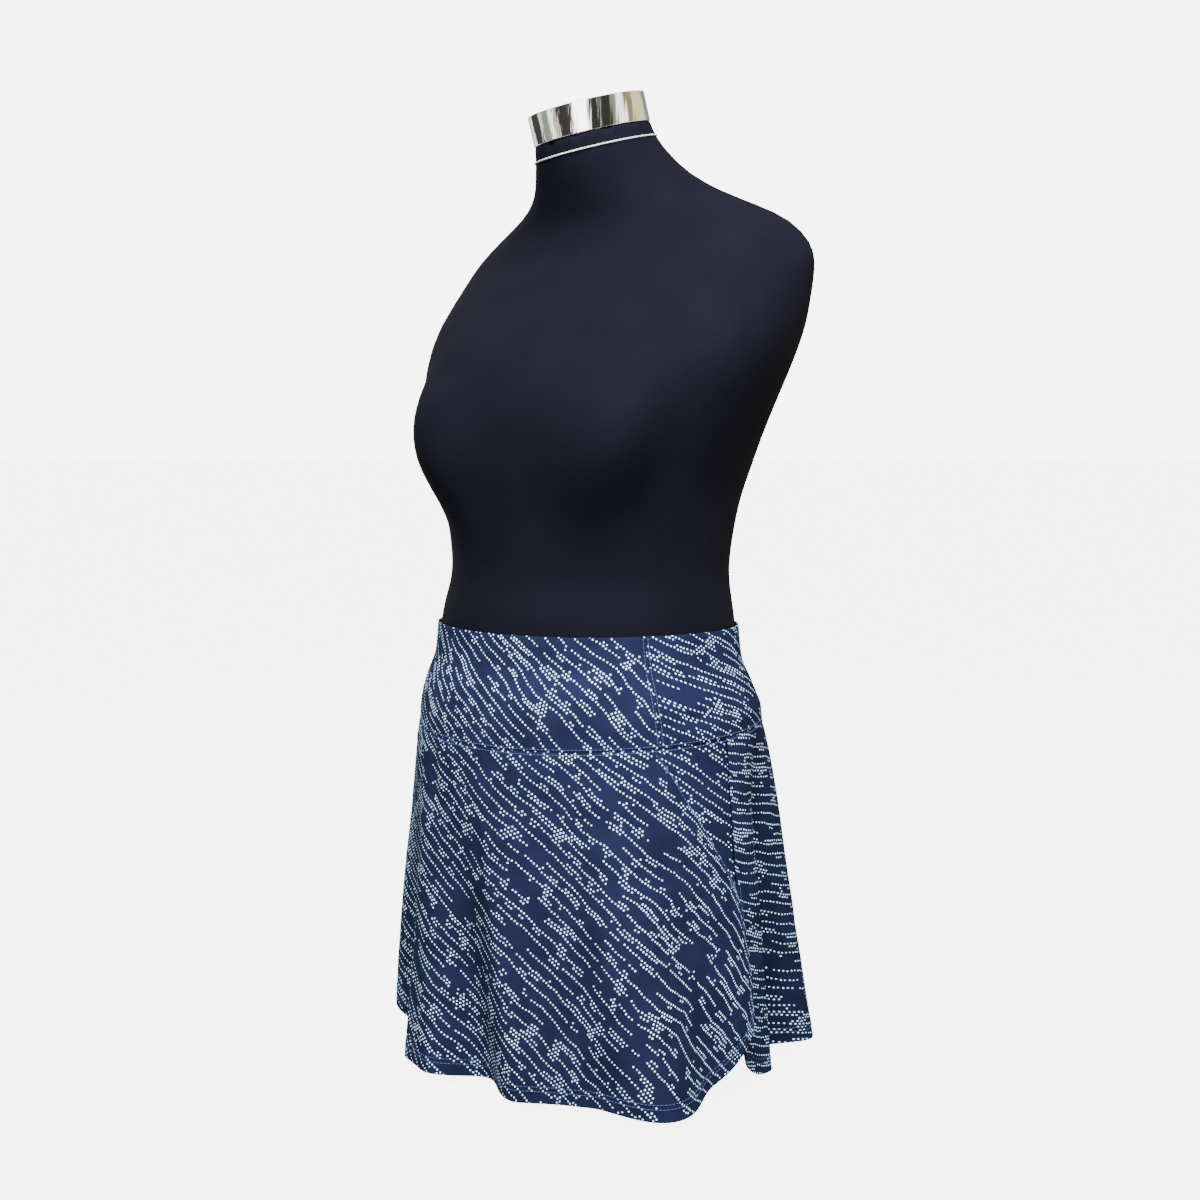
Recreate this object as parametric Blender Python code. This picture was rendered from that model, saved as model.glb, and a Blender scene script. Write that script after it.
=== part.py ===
"""Athletic skirt on a limbless dress form, in metres, +Z up.

The front of the skirt faces -Y and the wearer's left is +X. The origin is the
centre of the stand's underside, where the whole part rests on the floor.
Angles run round the body from the centre front, positive towards the wearer's left.
"""

import math
from collections import namedtuple

import bmesh
import bpy
from mathutils import Vector

# Heights of the skirt above the floor
HEM_Z = 0.009
SLIT_TOP_Z = 0.190
YOKE_SEAM_Z = 0.326
YOKE_SEAM_DIP = 0.011
WAIST_Z = 0.418
WAIST_DIP = 0.003

# Cloth
CLOTH_WALL = 0.0012
YOKE_WALL = 0.0020
HEM_WALL = 0.0020
HEM_DEPTH = 0.015
HEM_STEP = 0.0006
SEAM_GAP = 0.0003
POCKET_UNDERLAP = 4.0
POCKET_TUCK = 0.0018

# Slit corners of the hem, angles in degrees
FRONT_CORNER_ANGLE = 63.0
FRONT_CORNER_RISE = 0.063
FRONT_CORNER_POWER = 1.6
BACK_CORNER_ANGLE = 96.0
BACK_CORNER_RISE = 0.026
BACK_CORNER_POWER = 1.9
FRONT_SLIT_LIFT = 0.010
BACK_SLIT_TUCK = 0.010
SLIT_REACH = 16.0

# Yoke side seams, degrees from the centre front
YOKE_JOIN_TOP = 57.5
YOKE_JOIN_FOOT = 60.0

# Dress form and stand
FORM_CLEARANCE = 0.00095
FORM_FOOT_Z = 0.150
CAP_HEIGHT = 0.028
CAP_EDGE = 0.0016
PIPING_HEIGHT = 0.0018
PIPING_PROUD = 0.0010
POLE_RADIUS = 0.0125
BASE_RADIUS = 0.125
BASE_THICKNESS = 0.006
BOSS_RADIUS = 0.022
BOSS_HEIGHT = 0.020

# Numbers of columns and rows in the meshes
FRONT_COLUMNS = 58
BACK_COLUMNS = 66
SKIRT_ROWS = 10
YOKE_FRONT_COLUMNS = 20
YOKE_BACK_COLUMNS = 40
YOKE_ROWS = 8
POCKET_COLUMNS = 10
POCKET_ROWS = 10
FORM_COLUMNS = 48
FORM_ROWS = 44
ROUND_SIDES = 48
SLOPE_STEP = 0.001

Level = namedtuple("Level", "height half_width front back")
SKIRT_LEVELS = (
    Level(0.009, 0.193, 0.180, 0.200),
    Level(0.095, 0.190, 0.171, 0.190),
    Level(0.183, 0.1855, 0.163, 0.178),
    Level(0.268, 0.1795, 0.1545, 0.162),
    Level(0.308, 0.1760, 0.1510, 0.1480),
    Level(0.326, 0.1733, 0.1488, 0.1400),
)
YOKE_LEVELS = (
    Level(0.308, 0.1740, 0.1495, 0.1410),
    Level(0.326, 0.1733, 0.1488, 0.1400),
    Level(0.340, 0.1722, 0.1480, 0.1388),
    Level(0.363, 0.1660, 0.1435, 0.1260),
    Level(0.390, 0.1565, 0.1345, 0.1115),
    Level(0.424, 0.1540, 0.1310, 0.1050),
)

# Soft folds of the skirt. Depth is outwards at the hem, and fades to nothing at the yoke.
Fold = namedtuple("Fold", "hem_angle top_angle spread depth fade")
SKIRT_FOLDS = (
    Fold(-128, -124, 20, 0.014, 0.8),
    Fold(-110, -107, 14, -0.034, 0.9),
    Fold(-70, -66, 18, 0.013, 0.9),
    Fold(-49, -46, 15, -0.027, 1.2),
    Fold(-27, -36, 13, -0.002, 1.2),
    Fold(-2, -18, 20, -0.036, 1.3),
    Fold(28, 22, 18, -0.008, 1.2),
    Fold(56, 42, 18, 0.037, 1.3),
    Fold(111.5, 98.5, 13, -0.047, 0.9),
    Fold(128, 125, 20, 0.0225, 1.7),
    Fold(150, 146, 15, -0.020, 1.2),
    Fold(169, 168, 14, 0.010, 1.2),
    Fold(187, 188, 14, -0.016, 1.2),
    Fold(206, 204, 15, 0.012, 1.2),
)

# Where the hem hangs higher than level, or lower
HemLift = namedtuple("HemLift", "angle spread lift")
HEM_LIFTS = (
    HemLift(-72, 30, 0.026),
    HemLift(20, 26, -0.001),
    HemLift(118, 24, 0.004),
    HemLift(150, 26, 0.004),
    HemLift(214, 30, 0.002),
)

# Lines on the skirt, as an angle in degrees at each height
LinePoint = namedtuple("LinePoint", "height angle")
SIDE_SEAM = (
    LinePoint(0.009, 86.5),
    LinePoint(0.110, 86.8),
    LinePoint(0.150, 85.8),
    LinePoint(0.190, 83.7),
    LinePoint(0.245, 83.1),
    LinePoint(0.300, 82.8),
    LinePoint(0.338, 83.6),
)
BACK_SLIT_EDGE = (
    LinePoint(0.009, 88.0),
    LinePoint(0.110, 87.6),
    LinePoint(0.150, 85.8),
    LinePoint(0.190, 83.7),
    LinePoint(0.245, 83.1),
    LinePoint(0.300, 82.8),
    LinePoint(0.338, 83.6),
)
POCKET_OPENING = (
    LinePoint(0.190, 83.7),
    LinePoint(0.210, 79.8),
    LinePoint(0.240, 74.3),
    LinePoint(0.265, 69.2),
    LinePoint(0.287, 65.0),
    LinePoint(0.303, 61.8),
    LinePoint(0.338, 52.5),
)

# Dress form, from its foot to the top of its neck. A ring's lean is its slope down towards
# the front, and its tilt the slope up towards the wearer's left.
FormLevel = namedtuple("FormLevel", "height half_width front back centre_y power lean tilt")
FORM_LEVELS = (
    FormLevel(0.150, 0.136, 0.110, 0.120, 0.000, 2.0, 0.0, 0.0),
    FormLevel(0.154, 0.145, 0.118, 0.128, 0.000, 2.0, 0.0, 0.0),
    FormLevel(0.178, 0.151, 0.124, 0.136, 0.000, 2.0, 0.0, 0.0),
    FormLevel(0.238, 0.158, 0.134, 0.142, 0.000, 2.0, 0.0, 0.0),
    FormLevel(0.288, 0.1635, 0.1410, 0.1380, 0.000, 2.0, 0.0, 0.0),
    FormLevel(0.322, 0.1680, 0.1436, 0.1345, 0.000, 2.0, 0.0, 0.0),
    FormLevel(0.468, 0.1430, 0.1150, 0.1040, 0.000, 2.0, 0.0, 0.0),
    FormLevel(0.520, 0.1470, 0.1190, 0.1090, 0.002, 2.1, 0.0, 0.0),
    FormLevel(0.580, 0.1640, 0.1270, 0.1190, 0.005, 2.2, 0.0, 0.0),
    FormLevel(0.620, 0.1800, 0.1290, 0.1210, 0.010, 2.2, 0.0, 0.0),
    FormLevel(0.655, 0.1930, 0.1230, 0.1170, 0.020, 2.2, 0.0, 0.0),
    FormLevel(0.695, 0.2010, 0.1160, 0.1020, 0.040, 2.2, 0.0, 0.0),
    FormLevel(0.735, 0.2010, 0.1050, 0.0820, 0.062, 2.0, 0.0, 0.0),
    FormLevel(0.766, 0.1930, 0.1010, 0.0620, 0.077, 1.85, 0.0, 0.0),
    FormLevel(0.787, 0.1710, 0.1010, 0.0540, 0.079, 1.7, 0.01, 0.01),
    FormLevel(0.801, 0.1390, 0.0960, 0.0500, 0.070, 1.7, 0.04, 0.02),
    FormLevel(0.815, 0.1030, 0.0860, 0.0500, 0.055, 1.8, 0.08, 0.04),
    FormLevel(0.830, 0.0780, 0.0740, 0.0520, 0.037, 1.9, 0.13, 0.07),
    FormLevel(0.846, 0.0640, 0.0620, 0.0550, 0.019, 2.0, 0.19, 0.10),
    FormLevel(0.858, 0.0562, 0.0560, 0.0560, 0.009, 2.0, 0.22, 0.12),
    FormLevel(0.872, 0.0535, 0.0545, 0.0550, 0.004, 2.0, 0.22, 0.12),
)
WAIST_FIT = (0.330, 0.424)
BUST_HEIGHT = 0.582
BUST_ANGLE = 33.0
BUST_SPREAD = 25.0
BUST_REACH = 0.095
BUST_DEPTH = 0.026


def smooth_column(rows, column, height):
    """The value of a table's column at a height, on a smooth curve through its rows."""
    heights = [row.height for row in rows]
    values = [getattr(row, column) for row in rows]
    if height <= heights[0]:
        return values[0]
    if height >= heights[-1]:
        return values[-1]
    spans = [b - a for a, b in zip(heights, heights[1:])]
    slopes = [(b - a) / span for a, b, span in zip(values, values[1:], spans)]
    tangents = [slopes[0]]
    for before, after in zip(slopes, slopes[1:]):
        level = 0.0
        if before * after > 0:
            level = 2 * before * after / (before + after)
        tangents.append(level)
    tangents.append(slopes[-1])
    i = max(k for k in range(len(spans)) if heights[k] <= height)
    t = (height - heights[i]) / spans[i]
    return (
        (2 * t**3 - 3 * t**2 + 1) * values[i]
        + (t**3 - 2 * t**2 + t) * spans[i] * tangents[i]
        + (3 * t**2 - 2 * t**3) * values[i + 1]
        + (t**3 - t**2) * spans[i] * tangents[i + 1]
    )


def turn_between(angle, centre):
    """The signed difference of two angles in degrees, from -180 to 180."""
    return (angle - centre + 180) % 360 - 180


def oval_radius(levels, angle, height):
    """Distance from the body's axis to the oval section at this height, in this direction."""
    wide = smooth_column(levels, "half_width", height)
    side = "front" if abs(turn_between(angle, 0)) < 90 else "back"
    deep = smooth_column(levels, side, height)
    across = math.sin(math.radians(angle))
    along = math.cos(math.radians(angle))
    return wide * deep / math.hypot(deep * across, wide * along)


def yoke_seam_height(angle):
    return YOKE_SEAM_Z - YOKE_SEAM_DIP * math.cos(math.radians(angle))


def waist_height(angle):
    return WAIST_Z - WAIST_DIP * math.cos(math.radians(angle))


def drop_of(angle, height):
    """How far down the skirt a point lies, from 0 at the yoke seam to 1 at the level hem."""
    seam = yoke_seam_height(angle)
    return min(1.0, max(0.0, (seam - height) / (seam - HEM_Z)))


def fold_offset(angle, drop):
    """How far the folds push the cloth out at this point."""
    total = 0.0
    for fold in SKIRT_FOLDS:
        centre = fold.top_angle + (fold.hem_angle - fold.top_angle) * drop
        reach = abs(turn_between(angle, centre)) / fold.spread
        if reach < 1:
            total += fold.depth * drop**fold.fade * (1 + math.cos(math.pi * reach)) / 2
    return total


def slit_offset(angle, height, shift):
    """Below the slit's top, the two panels' edges part: one moves out and the other in."""
    open_share = max(0.0, (SLIT_TOP_Z - height) / (SLIT_TOP_Z - HEM_Z))
    reach = min(1.0, abs(abs(turn_between(angle, 0)) - SIDE_SEAM[0].angle) / SLIT_REACH)
    return shift * open_share * (1 - reach) ** 2 * (1 + 2 * reach)


def on_circle(angle, radius, height):
    turn = math.radians(angle)
    return Vector((radius * math.sin(turn), -radius * math.cos(turn), height))


def skirt_surface(slit_shift):
    """The outer surface of the skirt as a function of angle and height."""

    def point(angle, height):
        radius = oval_radius(SKIRT_LEVELS, angle, height)
        radius += fold_offset(angle, drop_of(angle, height))
        radius += slit_offset(angle, height, slit_shift)
        return on_circle(angle, radius, height)

    return point


def yoke_surface(angle, height):
    return on_circle(angle, oval_radius(YOKE_LEVELS, angle, height), height)


def surface_normal(surface, angle, height):
    """The outward normal, from short steps along the surface."""
    turn = math.degrees(SLOPE_STEP / 0.17)
    round_it = surface(angle + turn, height) - surface(angle - turn, height)
    up = surface(angle, height + SLOPE_STEP) - surface(angle, height - SLOPE_STEP)
    return round_it.cross(up).normalized()


def colour_material(name, colour, roughness, metallic=0.0):
    material = bpy.data.materials.new(name)
    material.use_nodes = True
    shader = material.node_tree.nodes["Principled BSDF"]
    shader.inputs["Base Color"].default_value = (*colour, 1.0)
    shader.inputs["Roughness"].default_value = roughness
    shader.inputs["Metallic"].default_value = metallic
    return material


def new_object(name, mesh, material, smooth_angle=40.0):
    mesh.materials.append(material)
    mesh.shade_smooth()
    mesh.set_sharp_from_angle(angle=math.radians(smooth_angle))
    made = bpy.data.objects.new(name, mesh)
    bpy.context.scene.collection.objects.link(made)
    return made


def mesh_from(bm, name):
    """The bmesh as a closed mesh whose faces point outwards."""
    bmesh.ops.recalc_face_normals(bm, faces=bm.faces)
    mesh = bpy.data.meshes.new(name)
    bm.to_mesh(mesh)
    bm.free()
    return mesh


def cloth_panel(name, surface, spots, walls, material):
    """A panel of cloth with a real wall.

    spots is a grid, a row of (angle, height) pairs at a time, and walls the
    thickness of each row. The inner face lies one wall inside the outer one.
    """
    bm = bmesh.new()
    outer, inner = [], []
    for row, wall in zip(spots, walls):
        outer_row, inner_row = [], []
        for angle, height in row:
            outside = surface(angle, height)
            inside = outside - surface_normal(surface, angle, height) * wall
            outer_row.append(bm.verts.new(outside))
            inner_row.append(bm.verts.new(inside))
        outer.append(outer_row)
        inner.append(inner_row)
    rows, columns = len(spots), len(spots[0])
    for i in range(rows - 1):
        for j in range(columns - 1):
            for side in (outer, inner):
                bm.faces.new(
                    (side[i][j], side[i + 1][j], side[i + 1][j + 1], side[i][j + 1])
                )
    for i in range(rows - 1):
        for j in (0, columns - 1):
            bm.faces.new((outer[i][j], outer[i + 1][j], inner[i + 1][j], inner[i][j]))
    for j in range(columns - 1):
        for i in (0, rows - 1):
            bm.faces.new((outer[i][j], outer[i][j + 1], inner[i][j + 1], inner[i][j]))
    return new_object(name, mesh_from(bm, name), material)


def blend(low, high, share):
    return low + (high - low) * share


def gap_angle(radius=0.17):
    """Half a seam's gap as degrees round the body."""
    return math.degrees(SEAM_GAP / 2 / radius)


def eased(share):
    """Spreads columns from -1 to 1, closer together towards both ends."""
    return share * (1.25 - 0.25 * share**2)


def corner_rise(angle, start, end, rise, power):
    """How far the hem has curved up on the way from the corner's start to the slit."""
    across = min(1.0, max(0.0, (abs(angle) - start) / (end - start)))
    return rise * (1 - (1 - across**power) ** (1 / power))


def hem_rows(top, hem):
    """Heights down a panel, from its top edge to the stitched hem and its edge."""
    stitch = hem + HEM_DEPTH
    body = [blend(top, stitch, k / SKIRT_ROWS) for k in range(SKIRT_ROWS + 1)]
    return [*body, stitch - HEM_STEP, hem + HEM_DEPTH / 2, hem]


def skirt_walls():
    return [CLOTH_WALL] * (SKIRT_ROWS + 1) + [HEM_WALL] * 3


def hem_height(angle):
    """Height of the hem's edge, away from the slit corners."""
    total = HEM_Z
    for place in HEM_LIFTS:
        reach = abs(turn_between(angle, place.angle)) / place.spread
        if reach < 1:
            total += place.lift * (1 + math.cos(math.pi * reach)) / 2
    return total


def grid_from_columns(columns):
    """Turns columns of (angle, height) pairs into rows."""
    return [list(row) for row in zip(*columns)]


def front_edge_angle(height):
    """Half the front panel's width: the pocket's opening above the slit, the slit below."""
    line = POCKET_OPENING if height >= SLIT_TOP_Z else SIDE_SEAM
    return smooth_column(line, "angle", height) - gap_angle()


def angle_at_yoke(line):
    """The angle at which a line on the skirt meets the yoke seam."""
    angle = line[-1].angle
    for _ in range(4):
        angle = smooth_column(line, "angle", yoke_seam_height(angle))
    return angle


def skirt_front(material):
    """The front panel, from slit to slit, cut away at its two pocket openings."""
    columns = []
    slit_angle = SIDE_SEAM[0].angle
    top_angle = angle_at_yoke(POCKET_OPENING)
    for k in range(FRONT_COLUMNS + 1):
        across = eased(2 * k / FRONT_COLUMNS - 1)
        top = yoke_seam_height(across * top_angle) - SEAM_GAP / 2
        rise = corner_rise(
            across * slit_angle,
            FRONT_CORNER_ANGLE,
            slit_angle,
            FRONT_CORNER_RISE,
            FRONT_CORNER_POWER,
        )
        heights = hem_rows(top, hem_height(across * slit_angle) + rise)
        columns.append([(across * front_edge_angle(z), z) for z in heights])
    spots = grid_from_columns(columns)
    surface = skirt_surface(FRONT_SLIT_LIFT)
    return cloth_panel("skirt_front", surface, spots, skirt_walls(), material)


def skirt_back(material):
    """The back panel, from slit to slit round the back."""
    columns = []
    slit_angle = BACK_SLIT_EDGE[0].angle
    top_angle = angle_at_yoke(BACK_SLIT_EDGE)
    for k in range(BACK_COLUMNS + 1):
        across = eased(2 * k / BACK_COLUMNS - 1)
        from_back = abs(across) * (180 - slit_angle)
        rise = corner_rise(
            from_back,
            180 - BACK_CORNER_ANGLE,
            180 - slit_angle,
            BACK_CORNER_RISE,
            BACK_CORNER_POWER,
        )
        top = yoke_seam_height(180 - across * (180 - top_angle)) - SEAM_GAP / 2
        column = []
        for z in hem_rows(top, hem_height(180 - from_back * math.copysign(1, across)) + rise):
            edge = smooth_column(BACK_SLIT_EDGE, "angle", z) + gap_angle()
            column.append((180 - across * (180 - edge), z))
        columns.append(column)
    spots = grid_from_columns(columns)
    surface = skirt_surface(-BACK_SLIT_TUCK)
    return cloth_panel("skirt_back", surface, spots, skirt_walls(), material)


def pocket_facing(side, name, material):
    """The cloth behind a pocket's opening, sewn into the yoke and side seams."""
    outer = skirt_surface(0.0)

    def surface(angle, height):
        place = outer(angle, height)
        return place - surface_normal(outer, angle, height) * POCKET_TUCK

    spots = []
    foot = SLIT_TOP_Z + SEAM_GAP
    inner_top = angle_at_yoke(POCKET_OPENING) - POCKET_UNDERLAP
    outer_top = angle_at_yoke(SIDE_SEAM)
    for i in range(POCKET_ROWS + 1):
        down = i / POCKET_ROWS
        row = []
        for j in range(POCKET_COLUMNS + 1):
            across = j / POCKET_COLUMNS
            top = yoke_seam_height(blend(inner_top, outer_top, across)) - SEAM_GAP / 2
            z = blend(top, foot, down)
            opening = smooth_column(POCKET_OPENING, "angle", z) - POCKET_UNDERLAP
            seam = smooth_column(SIDE_SEAM, "angle", z) - gap_angle()
            row.append((side * blend(opening, seam, across), z))
        spots.append(row)
    return cloth_panel(name, surface, spots, [CLOTH_WALL] * len(spots), material)


def yoke_panel(name, start, end, columns, material):
    """A panel of the wide yoke. start and end give its side edges as functions of height share."""
    spots = []
    for i in range(YOKE_ROWS + 1):
        down = i / YOKE_ROWS
        row = []
        for j in range(columns + 1):
            angle = blend(start(down), end(down), j / columns)
            foot = yoke_seam_height(angle) + SEAM_GAP / 2
            row.append((angle, blend(waist_height(angle), foot, down)))
        spots.append(row)
    return cloth_panel(name, yoke_surface, spots, [YOKE_WALL] * len(spots), material)


def yoke_join(down):
    return blend(YOKE_JOIN_TOP, YOKE_JOIN_FOOT, down)


def yoke_front(material):
    return yoke_panel(
        "waistband_front",
        lambda down: -yoke_join(down) + gap_angle(),
        lambda down: yoke_join(down) - gap_angle(),
        YOKE_FRONT_COLUMNS,
        material,
    )


def yoke_back(material):
    return yoke_panel(
        "waistband_back",
        lambda down: yoke_join(down) + gap_angle(),
        lambda down: 360 - yoke_join(down) - gap_angle(),
        YOKE_BACK_COLUMNS,
        material,
    )


def form_levels():
    """The form's rows, with those at the waist made to fit just inside the yoke."""
    low, high = WAIST_FIT
    inset = YOKE_WALL + FORM_CLEARANCE
    fitted = []
    for row in YOKE_LEVELS:
        if low < row.height <= high:
            sizes = (row.half_width - inset, row.front - inset, row.back - inset)
            fitted.append(FormLevel(row.height, *sizes, 0.0, 2.0, 0.0, 0.0))
    return sorted([*FORM_LEVELS, *fitted])


def bust_swell(angle, height):
    """The outward swell of the two cups of the form's bust."""
    rise = abs(height - BUST_HEIGHT) / BUST_REACH
    total = 0.0
    for centre in (-BUST_ANGLE, BUST_ANGLE):
        far = math.hypot(turn_between(angle, centre) / BUST_SPREAD, rise)
        if far < 1:
            total += BUST_DEPTH * (1 - far**2) ** 2
    return total


def form_point(levels, angle, height):
    """A point on the form. Its section is a superellipse whose plane may lean."""
    column = {
        name: smooth_column(levels, name, height) for name in FormLevel._fields[1:]
    }
    sine = math.sin(math.radians(angle))
    cosine = math.cos(math.radians(angle))
    deep = column["front"] if cosine > 0 else column["back"]
    power = 2 / column["power"]
    x = column["half_width"] * math.copysign(abs(sine) ** power, sine)
    y = -deep * math.copysign(abs(cosine) ** power, cosine)
    outward = Vector((x, y, 0)).normalized() * bust_swell(angle, height)
    z = height + column["lean"] * y + column["tilt"] * x
    return Vector((x + outward.x, y + outward.y + column["centre_y"], z))


def form_heights(levels):
    """Row heights of the form: its levels, with rows added where they are far apart."""
    heights = [row.height for row in levels]
    longest = (heights[-1] - heights[0]) / FORM_ROWS
    rows = []
    for low, high in zip(heights, heights[1:]):
        steps = max(1, round((high - low) / longest))
        rows += [blend(low, high, k / steps) for k in range(steps)]
    return [*rows, heights[-1]]


def closed_loft(name, rings, material):
    """A closed solid through rings of points, with a flat face on the first and last."""
    bm = bmesh.new()
    loops = [[bm.verts.new(point) for point in ring] for ring in rings]
    count = len(loops[0])
    for low, high in zip(loops, loops[1:]):
        for j in range(count):
            k = (j + 1) % count
            bm.faces.new((low[j], low[k], high[k], high[j]))
    bm.faces.new(loops[0])
    bm.faces.new(loops[-1])
    return new_object(name, mesh_from(bm, name), material)


def dress_form(material):
    levels = form_levels()
    turns = [360 * k / FORM_COLUMNS for k in range(FORM_COLUMNS)]
    rings = [
        [form_point(levels, angle, height) for angle in turns]
        for height in form_heights(levels)
    ]
    return closed_loft("form_torso", rings, material)


def neck_rings(profile):
    """Rings that repeat the form's top ring, grown outwards and moved up square to it."""
    levels = form_levels()
    top = levels[-1]
    centre = Vector((0, top.centre_y, top.height))
    upward = Vector((-top.tilt, -top.lean, 1)).normalized()
    turns = [360 * k / ROUND_SIDES for k in range(ROUND_SIDES)]
    offsets = [form_point(levels, angle, top.height) - centre for angle in turns]
    return [
        [centre + offset + offset.normalized() * grow + upward * up for offset in offsets]
        for grow, up in profile
    ]


def neck_cap(material):
    """The plated cap that closes the neck, with a softened rim."""
    profile = (
        (-CAP_EDGE, SEAM_GAP),
        (0.0, SEAM_GAP + CAP_EDGE),
        (0.0, CAP_HEIGHT - CAP_EDGE),
        (-CAP_EDGE, CAP_HEIGHT),
    )
    return closed_loft("form_neck_cap", neck_rings(profile), material)


def neck_piping(material):
    """The thin cord round the neck, where the cover of the form ends."""
    levels = form_levels()
    low = FORM_LEVELS[-2]
    bm = bmesh.new()
    rings = []
    for j in range(ROUND_SIDES):
        angle = 360 * j / ROUND_SIDES
        foot = form_point(levels, angle, low.height)
        head = form_point(levels, angle, low.height + PIPING_HEIGHT)
        out = Vector((foot.x, foot.y - low.centre_y, 0)).normalized()
        near, far = out * SEAM_GAP, out * (SEAM_GAP + PIPING_PROUD)
        corners = (foot + near, foot + far, head + far, head + near)
        rings.append([bm.verts.new(corner) for corner in corners])
    for ring, after in zip(rings, rings[1:] + rings[:1]):
        for j in range(4):
            k = (j + 1) % 4
            bm.faces.new((ring[j], after[j], after[k], ring[k]))
    return new_object("form_neck_piping", mesh_from(bm, "form_neck_piping"), material)


def turned_solid(name, profile, material):
    """A round solid about the Z axis through (radius, height) pairs, from its foot up."""
    rings = [
        [on_circle(360 * k / ROUND_SIDES, radius, z) for k in range(ROUND_SIDES)]
        for radius, z in profile
    ]
    return closed_loft(name, rings, material)


def stand(material):
    """The flat round base with its boss, and the short pole up to the form's foot."""
    edge = 0.0015
    boss_top = BASE_THICKNESS + BOSS_HEIGHT
    turned_solid(
        "stand_base",
        (
            (BASE_RADIUS, 0.0),
            (BASE_RADIUS, BASE_THICKNESS - edge),
            (BASE_RADIUS - edge, BASE_THICKNESS),
            (BOSS_RADIUS, BASE_THICKNESS),
            (BOSS_RADIUS, boss_top - edge),
            (BOSS_RADIUS - edge, boss_top),
        ),
        material,
    )
    turned_solid(
        "stand_pole",
        (
            (POLE_RADIUS, boss_top + SEAM_GAP),
            (POLE_RADIUS, FORM_FOOT_Z - SEAM_GAP),
        ),
        material,
    )


def main():
    for leftover in list(bpy.data.objects):
        bpy.data.objects.remove(leftover, do_unlink=True)
    cloth = colour_material("printed_knit", (0.030, 0.042, 0.125), 0.62)
    cover = colour_material("form_cover", (0.012, 0.012, 0.016), 0.70)
    plate = colour_material("plated_cap", (0.85, 0.84, 0.80), 0.12, 1.0)
    piping = colour_material("piping", (0.78, 0.78, 0.78), 0.60)
    steel = colour_material("stand_steel", (0.45, 0.45, 0.46), 0.30, 1.0)
    yoke_front(cloth)
    yoke_back(cloth)
    skirt_front(cloth)
    pocket_facing(1, "pocket_facing_left", cloth)
    pocket_facing(-1, "pocket_facing_right", cloth)
    skirt_back(cloth)
    dress_form(cover)
    neck_cap(plate)
    neck_piping(piping)
    stand(steel)


main()
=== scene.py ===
"""An athletic skirt on a limbless dress form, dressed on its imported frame. Metres, +Z up."""

import math
from collections import namedtuple

import bpy
from mathutils import Matrix, Vector, noise


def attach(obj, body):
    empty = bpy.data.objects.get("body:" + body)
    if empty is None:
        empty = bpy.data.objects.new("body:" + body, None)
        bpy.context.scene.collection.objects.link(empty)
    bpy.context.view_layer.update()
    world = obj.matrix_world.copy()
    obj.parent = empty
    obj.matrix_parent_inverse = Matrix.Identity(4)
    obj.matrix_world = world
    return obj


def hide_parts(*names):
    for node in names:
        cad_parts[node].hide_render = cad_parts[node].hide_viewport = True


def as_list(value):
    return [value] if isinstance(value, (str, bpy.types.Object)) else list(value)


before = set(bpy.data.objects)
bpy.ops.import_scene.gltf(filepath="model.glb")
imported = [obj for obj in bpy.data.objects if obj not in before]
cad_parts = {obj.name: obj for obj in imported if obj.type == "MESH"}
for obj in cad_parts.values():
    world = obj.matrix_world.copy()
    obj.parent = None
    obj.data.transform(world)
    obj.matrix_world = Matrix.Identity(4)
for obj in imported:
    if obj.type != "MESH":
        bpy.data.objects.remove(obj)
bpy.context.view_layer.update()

# Camera, as the photograph was taken
CAMERA_TURN = math.radians(38.0)
CAMERA_DISTANCE = 1.615
CAMERA_HEIGHT = 0.579
CAMERA_SIDESTEP = 0.0095
CAMERA_DIP = math.radians(5.04)
CAMERA_LENS = 51.0

# Heights of the skirt
HEM_Z = 0.009
SLIT_TOP_Z = 0.190
YOKE_SEAM_Z = 0.326
YOKE_SEAM_DIP = 0.011
WAIST_Z = 0.418
WAIST_DIP = 0.003

# Cloth
CLOTH_WALL = 0.0011
YOKE_WALL = 0.0019
HEM_WALL = 0.0019
HEM_DEPTH = 0.015
SEAM_GAP = 0.0001
POCKET_UNDERLAP = 4.0
POCKET_TUCK = 0.0018
SEAM_SINK = 0.0002
SEAM_SOFTNESS = 0.0022
SEAM_ROLL_PLACE = 2.6
SEAM_ROLL_SHARE = 0.2
RIPPLE = 0.0006
RIM_ROUND = 0.00025
HEM_STEP = 0.0008
# How near the yoke seam the creases fade, and the cloth's usual distance from the body's axis
SEAM_CALM = 0.012
BODY_RADIUS = 0.17
YOKE_RADIUS = 0.15
# The cloth's grain, as a turn of each panel's print in degrees
FRONT_GRAIN = 37.0
BACK_GRAIN = -12.0
POCKET_GRAIN = 40.0
YOKE_FRONT_GRAIN = 40.0
YOKE_BACK_GRAIN = 30.0

# Slit corners of the hem, angles in degrees
FRONT_CORNER_ANGLE = 63.0
FRONT_CORNER_RISE = 0.063
FRONT_CORNER_POWER = 1.6
BACK_CORNER_ANGLE = 96.0
BACK_CORNER_RISE = 0.026
BACK_CORNER_POWER = 1.9
FRONT_SLIT_LIFT = 0.010
BACK_SLIT_TUCK = 0.010
SLIT_REACH = 16.0

# Yoke side seams, degrees from the centre front
YOKE_JOIN_TOP = 57.5
YOKE_JOIN_FOOT = 60.0

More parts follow.
